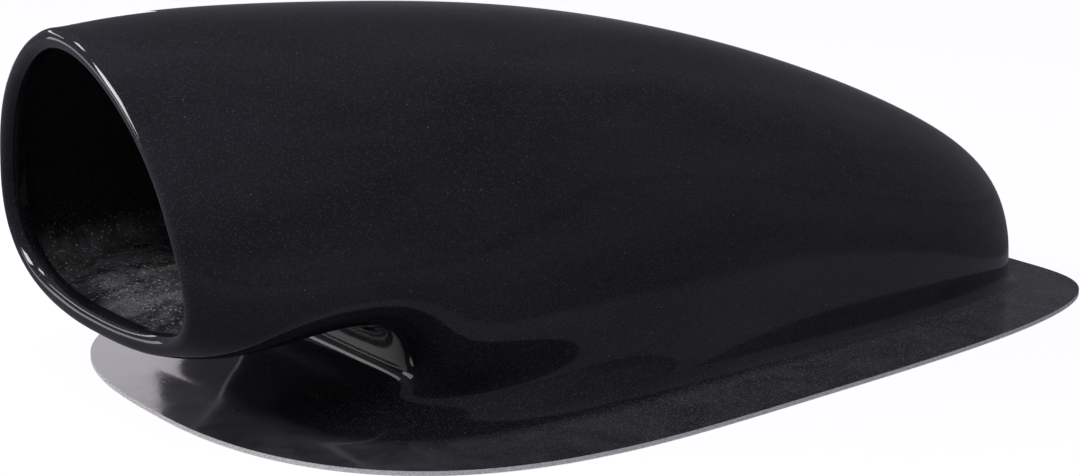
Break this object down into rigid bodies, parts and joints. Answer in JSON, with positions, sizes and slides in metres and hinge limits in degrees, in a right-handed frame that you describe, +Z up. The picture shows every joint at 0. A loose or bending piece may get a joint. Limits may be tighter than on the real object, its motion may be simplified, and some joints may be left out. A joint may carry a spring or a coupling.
{
  "type": "bonnet scoop",
  "caption": "Forward-facing bonnet scoop moulded in one piece: rolled mouth, snout standing off on a short neck, teardrop body, open underside and a flat bonding flange all round.",
  "frame": {"origin": "middle of the overall box seen from above, on the flange's underside", "axes": "+X to the rear of the car, +Z up from the bonnet, +Y to the car's right; the mouth faces -X"},
  "size_m": [0.664, 0.397, 0.2137],
  "materials": {
    "gel_coat": "glossy black gel coat over glass-fibre laminate"
  },
  "bodies": {
    "root": {"scoop_shell": "gel_coat"}
  },
  "joints": []
}
